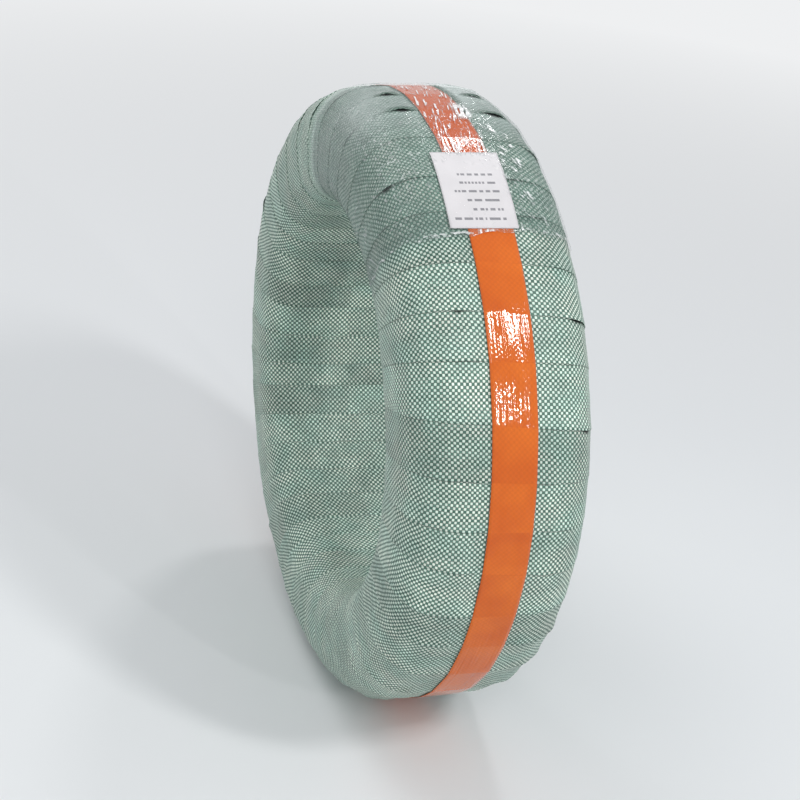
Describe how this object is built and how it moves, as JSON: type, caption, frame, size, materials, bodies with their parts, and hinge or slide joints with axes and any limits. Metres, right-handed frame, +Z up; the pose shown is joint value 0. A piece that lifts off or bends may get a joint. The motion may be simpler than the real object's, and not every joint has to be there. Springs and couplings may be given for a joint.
{
  "type": "wrapped wire coil",
  "caption": "Coil of steel wire wound in green and white woven strip, with an orange tape round its tread, a plain label and clear film. It stands on its tread.",
  "frame": {"origin": "centre of the eye, on the coil's axis", "axes": "+X along the coil's axis, +Z up as it stands, -Y towards the front, where the label is"},
  "size_m": [0.2114, 0.7178, 0.7202],
  "materials": {
    "wire": "drawn steel",
    "woven_strip": "woven plastic tape, green and white",
    "orange_tape": "glossy",
    "label_paper": "matt",
    "film": "clear, wrinkled"
  },
  "bodies": {
    "root": {"wire_coil": "wire", "woven_wrap": "woven_strip", "orange_band": "orange_tape", "label": "label_paper", "clear_film": "film"}
  },
  "joints": []
}
